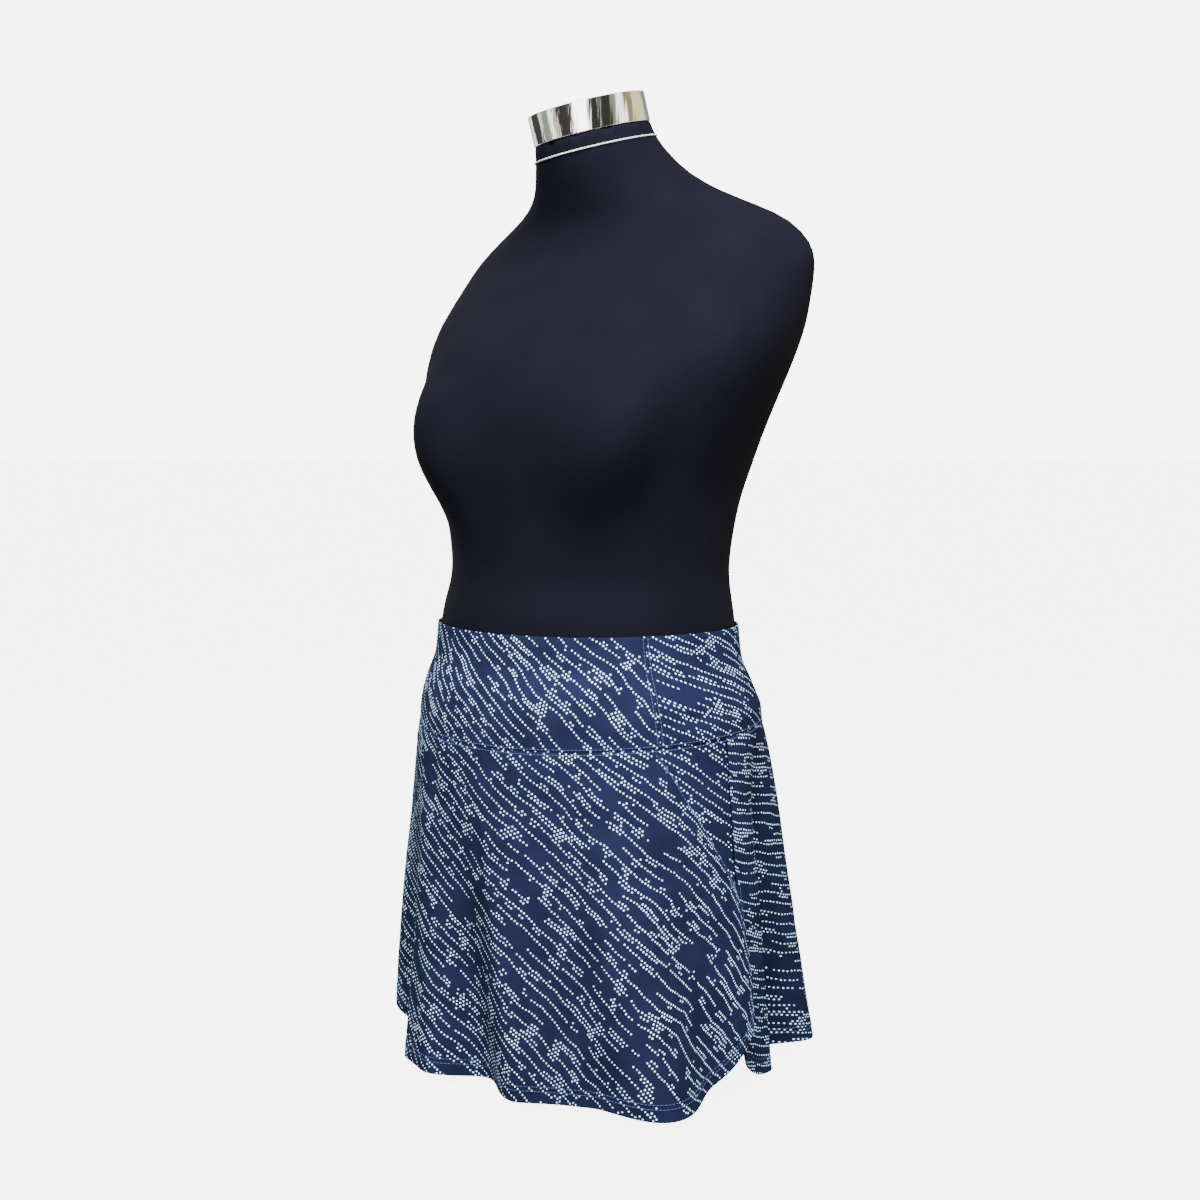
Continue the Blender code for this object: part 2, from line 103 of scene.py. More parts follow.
Level = namedtuple("Level", "height half_width front back")
SKIRT_LEVELS = (
    Level(0.009, 0.193, 0.180, 0.200),
    Level(0.095, 0.190, 0.171, 0.190),
    Level(0.183, 0.1855, 0.163, 0.178),
    Level(0.268, 0.1795, 0.1545, 0.162),
    Level(0.308, 0.1760, 0.1510, 0.1480),
    Level(0.326, 0.1733, 0.1488, 0.1400),
)
YOKE_LEVELS = (
    Level(0.308, 0.1740, 0.1495, 0.1410),
    Level(0.326, 0.1733, 0.1488, 0.1400),
    Level(0.340, 0.1722, 0.1480, 0.1388),
    Level(0.363, 0.1660, 0.1435, 0.1260),
    Level(0.390, 0.1565, 0.1345, 0.1115),
    Level(0.424, 0.1540, 0.1310, 0.1050),
)

# Soft folds of the skirt. Depth is outwards at the hem, and fades to nothing at the yoke.
Fold = namedtuple("Fold", "hem_angle top_angle spread depth fade")
SKIRT_FOLDS = (
    Fold(-128, -124, 20, 0.014, 0.8),
    Fold(-110, -107, 14, -0.034, 0.9),
    Fold(-70, -66, 18, 0.013, 0.9),
    Fold(-49, -46, 15, -0.027, 1.2),
    Fold(-27, -36, 13, -0.002, 1.2),
    Fold(-2, -18, 20, -0.036, 1.3),
    Fold(28, 22, 18, -0.008, 1.2),
    Fold(56, 42, 18, 0.037, 1.3),
    Fold(111.5, 98.5, 13, -0.047, 0.9),
    Fold(128, 125, 20, 0.0225, 1.7),
    Fold(150, 146, 15, -0.020, 1.2),
    Fold(169, 168, 14, 0.010, 1.2),
    Fold(187, 188, 14, -0.016, 1.2),
    Fold(206, 204, 15, 0.012, 1.2),
)

# Where the hem hangs higher than level, or lower
HemLift = namedtuple("HemLift", "angle spread lift")
HEM_LIFTS = (
    HemLift(-72, 30, 0.026),
    HemLift(20, 26, -0.001),
    HemLift(118, 24, 0.004),
    HemLift(150, 26, 0.004),
    HemLift(214, 30, 0.002),
)

# Creases: a soft trough or ridge from one point of the cloth to another.
# Width is its half width, and depth is outwards, both in millimetres. A crease runs on past its
# ends by a share of its length, and reaches a few half widths to each side.
CREASE_OVERRUN = 0.15
CREASE_REACH = 2.5
Crease = namedtuple("Crease", "angle height to_angle to_height width depth")
SKIRT_CREASES = (
    Crease(-31, 0.312, -27, 0.250, 9, -2.2),
    Crease(-24, 0.314, -20, 0.215, 8, 1.5),
    Crease(-13, 0.316, -11, 0.270, 6, -0.9),
    Crease(-55, 0.316, -62, 0.200, 11, -1.8),
    Crease(-47, 0.300, -52, 0.120, 13, 1.6),
    Crease(8, 0.300, 14, 0.110, 15, 1.4),
    Crease(-3, 0.298, 15, 0.040, 7, 1.9),
    Crease(-4, 0.306, -2, 0.290, 5, -1.8),
    Crease(63, 0.324, 70, 0.302, 6, -1.5),
    Crease(20, 0.316, 24, 0.180, 10, -1.3),
    Crease(33, 0.312, 30, 0.230, 8, 1.1),
    Crease(44, 0.255, 70, 0.130, 13, -1.4),
    Crease(60, 0.225, 76, 0.080, 12, 1.7),
    Crease(50, 0.140, 60, 0.030, 14, 1.2),
    Crease(-78, 0.240, -74, 0.080, 11, -1.6),
    Crease(94, 0.300, 96, 0.110, 8, 1.6),
    Crease(102, 0.315, 104, 0.200, 7, -1.5),
    Crease(119, 0.330, 121, 0.170, 9, 1.3),
    Crease(136, 0.325, 140, 0.140, 11, -1.6),
    Crease(158, 0.330, 157, 0.180, 10, 1.4),
    Crease(178, 0.334, 179, 0.150, 12, -1.7),
    Crease(196, 0.332, 194, 0.210, 8, 1.2),
    Crease(219, 0.328, 217, 0.120, 12, -1.5),
    Crease(243, 0.322, 240, 0.170, 9, 1.5),
    Crease(262, 0.300, 260, 0.110, 8, 1.4),
)
YOKE_CREASES = (
    Crease(-52, 0.336, -20, 0.326, 6, 0.7),
    Crease(-40, 0.405, -8, 0.392, 9, -0.6),
    Crease(10, 0.400, 42, 0.380, 10, -0.7),
    Crease(28, 0.345, 56, 0.333, 6, 0.8),
    Crease(66, 0.380, 98, 0.362, 8, -0.8),
    Crease(63, 0.341, 80, 0.346, 5, -1.8),
    Crease(66, 0.355, 86, 0.356, 6, 1.2),
    Crease(80, 0.340, 112, 0.345, 7, 0.8),
    Crease(140, 0.370, 172, 0.352, 9, -0.9),
    Crease(188, 0.392, 222, 0.372, 9, 0.8),
    Crease(238, 0.350, 284, 0.344, 7, -0.8),
)

# Each piece of cloth as it is cut: its width, its length and its area
FLAT_SIZES = {
    "yoke_front": (0.33, 0.115, 0.031),
    "yoke_back": (0.62, 0.105, 0.058),
    "cloth_front": (0.62, 0.33, 0.153),
    "cloth_back": (0.66, 0.34, 0.208),
    "pocket_cloth_left": (0.13, 0.14, 0.0067),
    "pocket_cloth_right": (0.13, 0.14, 0.0067),
}

# Lines on the skirt, as an angle in degrees at each height
LinePoint = namedtuple("LinePoint", "height angle")
SIDE_SEAM = (
    LinePoint(0.009, 86.5),
    LinePoint(0.110, 86.8),
    LinePoint(0.150, 85.8),
    LinePoint(0.190, 83.7),
    LinePoint(0.245, 83.1),
    LinePoint(0.300, 82.8),
    LinePoint(0.338, 83.6),
)
BACK_SLIT_EDGE = (
    LinePoint(0.009, 88.0),
    LinePoint(0.110, 87.6),
    LinePoint(0.150, 85.8),
    LinePoint(0.190, 83.7),
    LinePoint(0.245, 83.1),
    LinePoint(0.300, 82.8),
    LinePoint(0.338, 83.6),
)
POCKET_OPENING = (
    LinePoint(0.190, 83.7),
    LinePoint(0.210, 79.8),
    LinePoint(0.240, 74.3),
    LinePoint(0.265, 69.2),
    LinePoint(0.287, 65.0),
    LinePoint(0.303, 61.8),
    LinePoint(0.338, 52.5),
)

# Neck of the form: the slopes of its top, and the oval rings of its cap and its piping
NECK_LEAN = 0.22
NECK_TILT = 0.12
CAP_FOOT = Vector((0.0, 0.004, 0.872))
CAP_HALF_WIDTH = 0.0535
CAP_HALF_DEPTH = 0.0548
CAP_HEIGHT = 0.028
CAP_LIP = 0.045
CAP_SINK = 0.0012
CAP_STEP = 0.03
CAP_RIM = 0.0011
PIPING_PLACE = Vector((0.0, 0.009, 0.8589))
PIPING_HALF_WIDTH = 0.0569
PIPING_HALF_DEPTH = 0.0567
PIPING_RADIUS = 0.0008

# Sewing
STITCH_LENGTH = 0.0026
STITCH_GAP = 0.0009
STITCH_RADIUS = 0.00032
SEAM_STITCH = 0.0022
HEM_STITCHES = (0.0108, 0.0148)
SLIT_STITCH = 0.0032
POCKET_STITCH = 0.0016
RUN_END = 0.004
EDGE_RUN_RADIUS = 0.185
POCKET_TOP_ANGLE = 57.0
# Bar tacks at the pocket openings' ends: each one's height and length
BAR_TACKS = ((0.302, 0.011), (SLIT_TOP_Z + RUN_END, 0.012))
BAR_TACK_STITCHES = 9
BAR_TACK_PITCH = 0.0007
BAR_TACK_RADIUS = 0.18

# The print, in millimetres: dots along a chain, and rows that chains and clusters keep to
DOT_PITCH = 3.45
CHAIN_ROW = 3.15
ROWS_TO_A_CHAIN = 3.0
DOT_SMALLEST = 0.64
DOT_SPREAD = 0.16
DOT_IN_CLUSTER = 0.06
DOT_EDGE = 0.12
# How far the chains wander, and how far they shiver, along and across the cloth
WANDER = (6.0, 17.0, 0.0)
SHIVER = (2.0, 6.5, 0.0)
# Shares of noise: above the first a cluster is drawn, below the second a chain breaks
CLUSTER_ABOVE = 0.635
BREAK_BELOW = 0.33
LOST_DOTS = 0.03

# Colours
NAVY_DEEP = (0.0045, 0.0061, 0.0180, 1)
NAVY_LIGHT = (0.0070, 0.0085, 0.0262, 1)
NAVY_FLECK = (0.0148, 0.0178, 0.0425, 1)
DOT_WHITE = (0.54, 0.81, 1.0, 1)
WRONG_SIDE_DEEP = (0.20, 0.22, 0.26, 1)
WRONG_SIDE_LIGHT = (0.28, 0.30, 0.33, 1)
THREAD_DEEP = (0.026, 0.039, 0.105, 1)
THREAD_LIGHT = (0.075, 0.105, 0.230, 1)
CORD_DEEP = (0.24, 0.25, 0.26, 1)
CORD_LIGHT = (0.40, 0.40, 0.40, 1)
FORM_BLACK = (0.0021, 0.0020, 0.0042, 1)
FORM_GREY = (0.0034, 0.0033, 0.0060, 1)
LINT = (0.030, 0.030, 0.034, 1)

# Studio: the backdrop's and the floor's brightness, and the soft light that comes from all
# round, strongest from the front and above
BACKDROP = 6.6
FLOOR_GLOW = 5.9
AMBIENT_TINT = (0.95, 0.98, 1.0, 1.0)
AMBIENT_LOW = 0.12
AMBIENT_HIGH = 1.80
AMBIENT_FROM = (0.472, -0.604, 0.643)
# Soft lights: the angle from the front, height, distance, size and power
SOFT_LIGHTS = (
    ("high key", 36, 1.62, 0.90, 0.9, 150.0),
    ("back light", 215, 1.35, 1.50, 1.0, 60.0),
)
OVERHEAD = (0.9, 0.9, 0.9)
UNDERFOOT = (0.35, 0.35, 0.37)
# What the plating mirrors round the object: an angle from the front, and the light there
SOFT_BOXES = (
    (-180, (0.30, 0.30, 0.32)),
    (-125, (0.60, 0.60, 0.62)),
    (-103, (2.20, 2.20, 2.20)),
    (-100, (0.06, 0.07, 0.07)),
    (-70, (0.06, 0.08, 0.07)),
    (-67, (1.80, 1.85, 1.80)),
    (-61, (0.35, 0.40, 0.36)),
    (-43, (0.42, 0.48, 0.42)),
    (-40, (2.60, 2.60, 2.30)),
    (-30, (2.40, 2.35, 2.00)),
    (-28, (0.20, 0.17, 0.12)),
    (-23, (1.60, 1.55, 1.30)),
    (-19, (0.06, 0.05, 0.05)),
    (8, (0.07, 0.07, 0.07)),
    (14, (3.50, 3.50, 3.50)),
    (22, (7.00, 7.00, 7.00)),
    (38, (7.00, 7.00, 7.00)),
    (45, (0.50, 0.50, 0.50)),
    (48, (0.05, 0.05, 0.05)),
    (61, (0.05, 0.05, 0.05)),
    (63, (0.70, 0.70, 0.70)),
    (66, (0.05, 0.05, 0.05)),
    (84, (0.05, 0.06, 0.05)),
    (87, (0.36, 0.40, 0.30)),
    (95, (0.40, 0.44, 0.34)),
    (98, (2.80, 2.80, 2.70)),
    (114, (2.80, 2.80, 2.60)),
    (118, (0.40, 0.36, 0.17)),
    (134, (0.44, 0.40, 0.20)),
    (138, (1.30, 1.20, 0.70)),
    (168, (1.30, 1.20, 0.70)),
    (180, (0.30, 0.30, 0.32)),
)

# Fineness of the cloth's meshes
FRONT_COLUMNS = 170
BACK_COLUMNS = 200
SKIRT_ROWS = 96
HEM_ROWS = 10
YOKE_FRONT_COLUMNS = 90
YOKE_BACK_COLUMNS = 150
YOKE_ROWS = 34
POCKET_COLUMNS = 16
POCKET_ROWS = 50
SLOPE_STEP = 0.001


def smooth_column(rows, column, height):
    """The value of a table's column at a height, on a smooth curve through its rows."""
    heights = [row.height for row in rows]
    values = [getattr(row, column) for row in rows]
    if height <= heights[0]:
        return values[0]
    if height >= heights[-1]:
        return values[-1]
    spans = [b - a for a, b in zip(heights, heights[1:])]
    slopes = [(b - a) / span for a, b, span in zip(values, values[1:], spans)]
    tangents = [slopes[0]]
    for before, after in zip(slopes, slopes[1:]):
        level = 0.0
        if before * after > 0:
            level = 2 * before * after / (before + after)
        tangents.append(level)
    tangents.append(slopes[-1])
    i = max(k for k in range(len(spans)) if heights[k] <= height)
    t = (height - heights[i]) / spans[i]
    return (
        (2 * t**3 - 3 * t**2 + 1) * values[i]
        + (t**3 - 2 * t**2 + t) * spans[i] * tangents[i]
        + (3 * t**2 - 2 * t**3) * values[i + 1]
        + (t**3 - t**2) * spans[i] * tangents[i + 1]
    )


def turn_between(angle, centre):
    """The signed difference of two angles in degrees, from -180 to 180."""
    return (angle - centre + 180) % 360 - 180


def blend(low, high, share):
    return low + (high - low) * share


def oval_radius(levels, angle, height):
    """Distance from the body's axis to the oval section at this height, in this direction."""
    wide = smooth_column(levels, "half_width", height)
    side = "front" if abs(turn_between(angle, 0)) < 90 else "back"
    deep = smooth_column(levels, side, height)
    across = math.sin(math.radians(angle))
    along = math.cos(math.radians(angle))
    return wide * deep / math.hypot(deep * across, wide * along)


def yoke_seam_height(angle):
    return YOKE_SEAM_Z - YOKE_SEAM_DIP * math.cos(math.radians(angle))


def waist_height(angle):
    return WAIST_Z - WAIST_DIP * math.cos(math.radians(angle))


def fold_offset(angle, height):
    """How far the folds push the cloth out at this point."""
    seam = yoke_seam_height(angle)
    drop = min(1.0, max(0.0, (seam - height) / (seam - HEM_Z)))
    total = 0.0
    for fold in SKIRT_FOLDS:
        centre = fold.top_angle + (fold.hem_angle - fold.top_angle) * drop
        reach = abs(turn_between(angle, centre)) / fold.spread
        if reach < 1:
            total += fold.depth * drop**fold.fade * (1 + math.cos(math.pi * reach)) / 2
    return total


def slit_offset(angle, height, shift):
    """Below the slit's top, the two panels' edges part: one moves out and the other in."""
    open_share = max(0.0, (SLIT_TOP_Z - height) / (SLIT_TOP_Z - HEM_Z))
    reach = min(1.0, abs(abs(turn_between(angle, 0)) - SIDE_SEAM[0].angle) / SLIT_REACH)
    return shift * open_share * (1 - reach) ** 2 * (1 + 2 * reach)


def crease_offset(creases, angle, height, radius):
    """How far the listed creases push the cloth out. Each one fades at both ends."""
    total = 0.0
    for crease in creases:
        across = math.radians(crease.to_angle - crease.angle) * radius
        span = Vector((across, crease.to_height - crease.height))
        across = math.radians(turn_between(angle, crease.angle)) * radius
        here = Vector((across, height - crease.height))
        along = here.dot(span) / span.length_squared
        if -CREASE_OVERRUN < along < 1 + CREASE_OVERRUN:
            beside = (here - span * along).length / (crease.width / 1000)
            if beside < CREASE_REACH:
                on_it = (along + CREASE_OVERRUN) / (1 + 2 * CREASE_OVERRUN)
                fade = math.sin(math.pi * on_it) ** 0.8
                total += crease.depth / 1000 * fade * math.exp(-(beside**2))
    return total


def ripple_offset(place):
    """Faint unevenness of soft cloth."""
    wide = noise.noise(place * 16.0) + 0.5 * noise.noise(place * 37.0)
    return RIPPLE * wide


def on_circle(angle, radius, height):
    turn = math.radians(angle)
    return Vector((radius * math.sin(turn), -radius * math.cos(turn), height))


def skirt_surface(slit_shift):
    """The outer surface of the skirt as a function of angle and height."""

    def point(angle, height):
        radius = oval_radius(SKIRT_LEVELS, angle, height)
        radius += fold_offset(angle, height)
        radius += slit_offset(angle, height, slit_shift)
        near_seam = min(1.0, max(0.0, yoke_seam_height(angle) - height) / SEAM_CALM)
        radius += crease_offset(SKIRT_CREASES, angle, height, radius) * near_seam
        radius += ripple_offset(on_circle(angle, radius, height)) * near_seam
        return on_circle(angle, radius, height)

    return point


def yoke_surface(angle, height):
    radius = oval_radius(YOKE_LEVELS, angle, height)
    near_seam = min(1.0, max(0.0, height - yoke_seam_height(angle)) / SEAM_CALM)
    radius += crease_offset(YOKE_CREASES, angle, height, radius) * near_seam
    return on_circle(angle, radius, height)


def surface_normal(surface, angle, height):
    """The outward normal, from short steps along the surface."""
    turn = math.degrees(SLOPE_STEP / BODY_RADIUS)
    round_it = surface(angle + turn, height) - surface(angle - turn, height)
    up = surface(angle, height + SLOPE_STEP) - surface(angle, height - SLOPE_STEP)
    return round_it.cross(up).normalized()


def gap_angle():
    """Half a seam's gap as degrees round the body."""
    return math.degrees(SEAM_GAP / 2 / BODY_RADIUS)


def corner_rise(angle, start, end, rise, power):
    """How far the hem has curved up on the way from the corner's start to the slit."""
    across = min(1.0, max(0.0, (abs(angle) - start) / (end - start)))
    return rise * (1 - (1 - across**power) ** (1 / power))


def hem_height(angle):
    """Height of the hem's edge, away from the slit corners."""
    total = HEM_Z
    for place in HEM_LIFTS:
        reach = abs(turn_between(angle, place.angle)) / place.spread
        if reach < 1:
            total += place.lift * (1 + math.cos(math.pi * reach)) / 2
    return total


def angle_at_yoke(line):
    """The angle at which a line on the skirt meets the yoke seam."""
    angle = line[-1].angle
    for _ in range(4):
        angle = smooth_column(line, "angle", yoke_seam_height(angle))
    return angle


def front_edge_angle(height):
    """Half the front panel's width: the pocket's opening above the slit, the slit below."""
    line = POCKET_OPENING if height >= SLIT_TOP_Z else SIDE_SEAM
    return smooth_column(line, "angle", height) - gap_angle()


def back_edge_angle(height):
    return smooth_column(BACK_SLIT_EDGE, "angle", height) + gap_angle()


def front_hem(across):
    """Height of the front panel's hem edge, from -1 to 1 across it."""
    slit_angle = SIDE_SEAM[0].angle
    angle = across * slit_angle
    corner = (FRONT_CORNER_ANGLE, slit_angle, FRONT_CORNER_RISE, FRONT_CORNER_POWER)
    return hem_height(angle) + corner_rise(angle, *corner)


def back_hem(across):
    slit_angle = BACK_SLIT_EDGE[0].angle
    from_back = abs(across) * (180 - slit_angle)
    corner = (180 - BACK_CORNER_ANGLE, 180 - slit_angle, BACK_CORNER_RISE, BACK_CORNER_POWER)
    return hem_height(180 - across * (180 - slit_angle)) + corner_rise(from_back, *corner)


def front_spot(across, height):
    return across * front_edge_angle(height), height


def back_spot(across, height):
    return 180 - across * (180 - back_edge_angle(height)), height


def seam_sink(distance):
    """Cloth dips into a seam, and its roll beside it stands a little proud."""
    share = distance / SEAM_SOFTNESS
    dip = math.exp(-(share**2))
    roll = math.exp(-((share - SEAM_ROLL_PLACE) ** 2))
    return -SEAM_SINK * dip + SEAM_ROLL_SHARE * SEAM_SINK * roll


def sewn_sides(spots, points, sides):
    """For each grid point, its distance to the nearest sewn side of the panel."""
    far = 1.0
    found = []
    for i, row in enumerate(points):
        found.append([])
        for j, here in enumerate(row):
            height = spots[i][j][1]
            choices = [far]
            if sides.get("top"):
                choices.append((here - points[0][j]).length)
            if sides.get("foot"):
                choices.append((here - points[-1][j]).length)
            if sides.get("start") and height >= sides["start"]:
                choices.append((here - row[0]).length)
            if sides.get("end") and height >= sides["end"]:
                choices.append((here - row[-1]).length)
            found[i].append(min(choices))
    return found


def cloth_shell(name, surface, spots, walls, sides, grain, turned_hem=False):
    """A panel of cloth as a thin shell with a UV map in metres, turned to its grain."""
    points = [[surface(*spot) for spot in row] for row in spots]
    normals = [[surface_normal(surface, *spot) for spot in row] for row in spots]
    sewn = sewn_sides(spots, points, sides)
    rows, columns = len(spots), len(spots[0])
    outer, inner = [], []
    for i in range(rows):
        for j in range(columns):
            lift = normals[i][j] * seam_sink(sewn[i][j])
            outer.append(points[i][j] + lift)
            inner.append(points[i][j] + lift * 0.5 - normals[i][j] * walls[i])
    count = rows * columns
    faces, slots = [], []
    hem_start = rows - HEM_ROWS if turned_hem else rows
    for i in range(rows - 1):
        for j in range(columns - 1):
            a, b = i * columns + j, (i + 1) * columns + j
            faces.append((a, b, b + 1, a + 1))
            slots.append(0)
            faces.append((count + a + 1, count + b + 1, count + b, count + a))
            slots.append(0 if i >= hem_start else 1)
    for i in range(rows - 1):
        a, b = i * columns, (i + 1) * columns
        faces.append((a, count + a, count + b, b))
        a, b = a + columns - 1, b + columns - 1
        faces.append((b, count + b, count + a, a))
        slots += [0, 0]
    for j in range(columns - 1):
        faces.append((j, j + 1, count + j + 1, count + j))
        a = (rows - 1) * columns + j
        faces.append((a, count + a, count + a + 1, a + 1))
        slots += [0, 0]
    mesh = bpy.data.meshes.new(name)
    mesh.from_pydata(outer + inner, [], faces)
    mesh.polygons.foreach_set("material_index", slots)
    flat = flat_places(points, spots)
    turn = Matrix.Rotation(math.radians(grain), 2)
    layer = mesh.uv_layers.new(name="cloth")
    for loop in mesh.loops:
        k = loop.vertex_index % count
        layer.data[loop.index].uv = turn @ flat[k]
    mesh.shade_smooth()
    piece = placed(name, mesh)
    soften_rims(piece)
    return piece


def placed(name, data):
    """A new object in the scene."""
    made = bpy.data.objects.new(name, data)
    bpy.context.scene.collection.objects.link(made)
    return made


def flat_places(points, spots):
    """Places on the flat cloth: measured along its middle row and down each column."""
    rows, columns = len(points), len(points[0])
    middle = points[rows // 2]
    along = [0.0]
    for a, b in zip(middle, middle[1:]):
        along.append(along[-1] + (b - a).length)
    half = along[-1] / 2
    centre = columns // 2
    width = [
        sum((b - a).length for a, b in zip(row, row[1:])) / along[-1] for row in points
    ]
    flat = []
    for i in range(rows):
        for j in range(columns):
            flat.append(Vector(((along[j] - half) * width[i], spots[i][j][1])))
    return flat


def only(piece):
    """Makes the piece the only one selected."""
    bpy.ops.object.select_all(action="DESELECT")
    bpy.context.view_layer.objects.active = piece
    piece.select_set(True)


def soften_rims(piece):
    """Rounds the cut edges of a panel."""
    only(piece)
    round_rim = piece.modifiers.new("round rim", "BEVEL")
    round_rim.limit_method = "ANGLE"
    round_rim.angle_limit = math.radians(50)
    round_rim.width = RIM_ROUND
    round_rim.segments = 2
    bpy.ops.object.modifier_apply(modifier=round_rim.name)


def spread(columns):
    return [2 * k / columns - 1 for k in range(columns + 1)]


def skirt_heights(top, hem):
    stitch = hem + HEM_DEPTH
    body = [blend(top, stitch, k / SKIRT_ROWS) for k in range(SKIRT_ROWS + 1)]
    edge = [blend(stitch - HEM_STEP, hem, k / HEM_ROWS) for k in range(HEM_ROWS + 1)]
    return body + edge


def skirt_walls():
    return [CLOTH_WALL] * (SKIRT_ROWS + 1) + [HEM_WALL] * (HEM_ROWS + 1)


def rows_of(columns):
    return [list(row) for row in zip(*columns)]


def make_skirt_front():
    top_angle = angle_at_yoke(POCKET_OPENING)
    columns = []
    for across in spread(FRONT_COLUMNS):
        top = yoke_seam_height(across * top_angle) - SEAM_GAP / 2
        heights = skirt_heights(top, front_hem(across))
        columns.append([front_spot(across, z) for z in heights])
    sides = {"top": True}
    surface = skirt_surface(FRONT_SLIT_LIFT)
    args = (surface, rows_of(columns), skirt_walls(), sides, FRONT_GRAIN)
    return cloth_shell("cloth_front", *args, turned_hem=True)


def make_skirt_back():
    top_angle = angle_at_yoke(BACK_SLIT_EDGE)
    columns = []
    for across in spread(BACK_COLUMNS):
        top = yoke_seam_height(180 - across * (180 - top_angle)) - SEAM_GAP / 2
        heights = skirt_heights(top, back_hem(across))
        columns.append([back_spot(across, z) for z in heights])
    sides = {"top": True, "start": SLIT_TOP_Z, "end": SLIT_TOP_Z}
    surface = skirt_surface(-BACK_SLIT_TUCK)
    args = (surface, rows_of(columns), skirt_walls(), sides, BACK_GRAIN)
    return cloth_shell("cloth_back", *args, turned_hem=True)


def make_pocket_facing(side, name):
    outer = skirt_surface(0.0)

    def surface(angle, height):
        place = outer(angle, height)
        return place - surface_normal(outer, angle, height) * POCKET_TUCK

    inner_top = angle_at_yoke(POCKET_OPENING) - POCKET_UNDERLAP
    outer_top = angle_at_yoke(SIDE_SEAM)
    foot = SLIT_TOP_Z + SEAM_GAP
    spots = []
    for i in range(POCKET_ROWS + 1):
        row = []
        for j in range(POCKET_COLUMNS + 1):
            across = j / POCKET_COLUMNS
            top = yoke_seam_height(blend(inner_top, outer_top, across)) - SEAM_GAP / 2
            z = blend(top, foot, i / POCKET_ROWS)
            opening = smooth_column(POCKET_OPENING, "angle", z) - POCKET_UNDERLAP
            seam = smooth_column(SIDE_SEAM, "angle", z) - gap_angle()
            row.append((blend(opening, seam, across), z))
        spots.append(row)
    if side < 0:
        spots = [[(-angle, z) for angle, z in reversed(row)] for row in spots]
    walls = [CLOTH_WALL] * len(spots)
    return cloth_shell(name, surface, spots, walls, {}, POCKET_GRAIN)


def yoke_join(down):
    return blend(YOKE_JOIN_TOP, YOKE_JOIN_FOOT, down)


def make_yoke(name, start, end, columns, grain):
    spots = []
    for i in range(YOKE_ROWS + 1):
        down = i / YOKE_ROWS
        row = []
        for j in range(columns + 1):
            angle = blend(start(down), end(down), j / columns)
            foot = yoke_seam_height(angle) + SEAM_GAP / 2
            row.append((angle, blend(waist_height(angle), foot, down)))
        spots.append(row)
    sides = {"foot": True, "start": 0.1, "end": 0.1}
    walls = [YOKE_WALL] * len(spots)
    return cloth_shell(name, yoke_surface, spots, walls, sides, grain)


def stitches(name, runs):
    """Rows of sewn stitches as one mesh. Each run is a list of (point, normal) pairs."""
    corners, faces = [], []
    for run in runs:
        for place, along, out, length in stitch_places(run):
            side = along.cross(out)
            first = len(corners)
            for share, girth in ((-0.5, 0.45), (0.0, 1.0), (0.5, 0.45)):
                lift = STITCH_RADIUS * (0.5 + 0.5 * girth)
                middle = place + along * (length * share) + out * lift
                for k in range(4):
                    turn = math.pi / 4 + math.pi / 2 * k
                    reach = STITCH_RADIUS * girth
                    round_it = side * math.cos(turn) * 1.3 + out * math.sin(turn)
                    corners.append(middle + round_it * reach)
            for ring in (0, 4):
                for k in range(4):
                    a, b = first + ring + k, first + ring + (k + 1) % 4
                    faces.append((a, a + 4, b + 4, b))
            faces.append((first, first + 1, first + 2, first + 3))
            faces.append((first + 11, first + 10, first + 9, first + 8))
    mesh = bpy.data.meshes.new(name)
    mesh.from_pydata(corners, [], faces)
    mesh.shade_smooth()
    return placed(name, mesh)


def stitch_places(run):
    """Even places along a run, with the direction, the cloth's normal and the length there."""
    pitch = STITCH_LENGTH + STITCH_GAP
    travelled, due = 0.0, pitch / 2
    for (a, out_a), (b, out_b) in zip(run, run[1:]):
        step = (b - a).length
        while step > 0 and travelled + step >= due:
            share = (due - travelled) / step
            out = out_a.lerp(out_b, share).normalized()
            yield a.lerp(b, share), (b - a).normalized(), out, STITCH_LENGTH
            due += pitch
        travelled += step


def run_on(surface, spots):
    """Points and normals of a sewn run over the cloth."""
    return [(surface(*spot), surface_normal(surface, *spot)) for spot in spots]


def steps(low, high, count):
    return [blend(low, high, k / count) for k in range(count + 1)]


def sewn_hem(surface, spot, hem, inset):
    """A run that follows a hem from slit to slit at a distance from its edge."""
    spots = [spot(across, hem(across) + inset) for across in steps(-0.985, 0.985, 400)]
    return run_on(surface, spots)


def edge_run(surface, edge_angle, low, high, inset, side):
    """A run beside a near upright edge, inset towards the panel's middle."""
    turn = math.degrees(inset / EDGE_RUN_RADIUS)
    spots = [(side * (edge_angle(z) - turn), z) for z in steps(low, high, 120)]
    return run_on(surface, spots)


